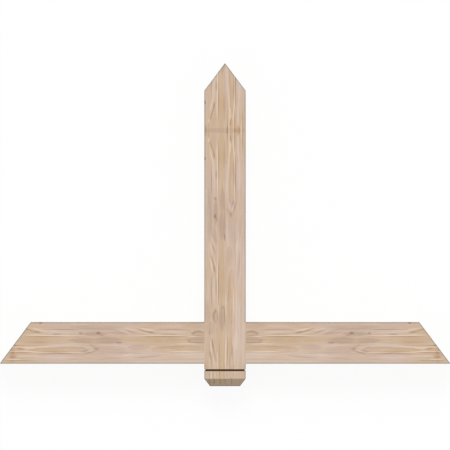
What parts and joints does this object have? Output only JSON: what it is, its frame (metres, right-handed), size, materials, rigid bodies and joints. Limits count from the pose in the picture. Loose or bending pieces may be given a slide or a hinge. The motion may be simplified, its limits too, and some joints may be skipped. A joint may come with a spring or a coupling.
{
  "type": "timber gable bracket",
  "caption": "Flat timber bracket that dresses the peak of a gable: an upright post with a level arm on each side, cut to the pitch of the roof.",
  "frame": {"origin": "on the back face, where the centre line of the post crosses the centre line of the arms", "axes": "+X along the arms, to the viewer's right when the front face is seen with the peak up; +Y up the post to the peak; +Z out of the front face"},
  "size_m": [1.524, 1.0923, 0.1397],
  "materials": {
    "timber": "planed, bare"
  },
  "bodies": {
    "root": {"king_post": "timber", "tie_arm_left": "timber", "tie_arm_right": "timber"}
  },
  "joints": []
}
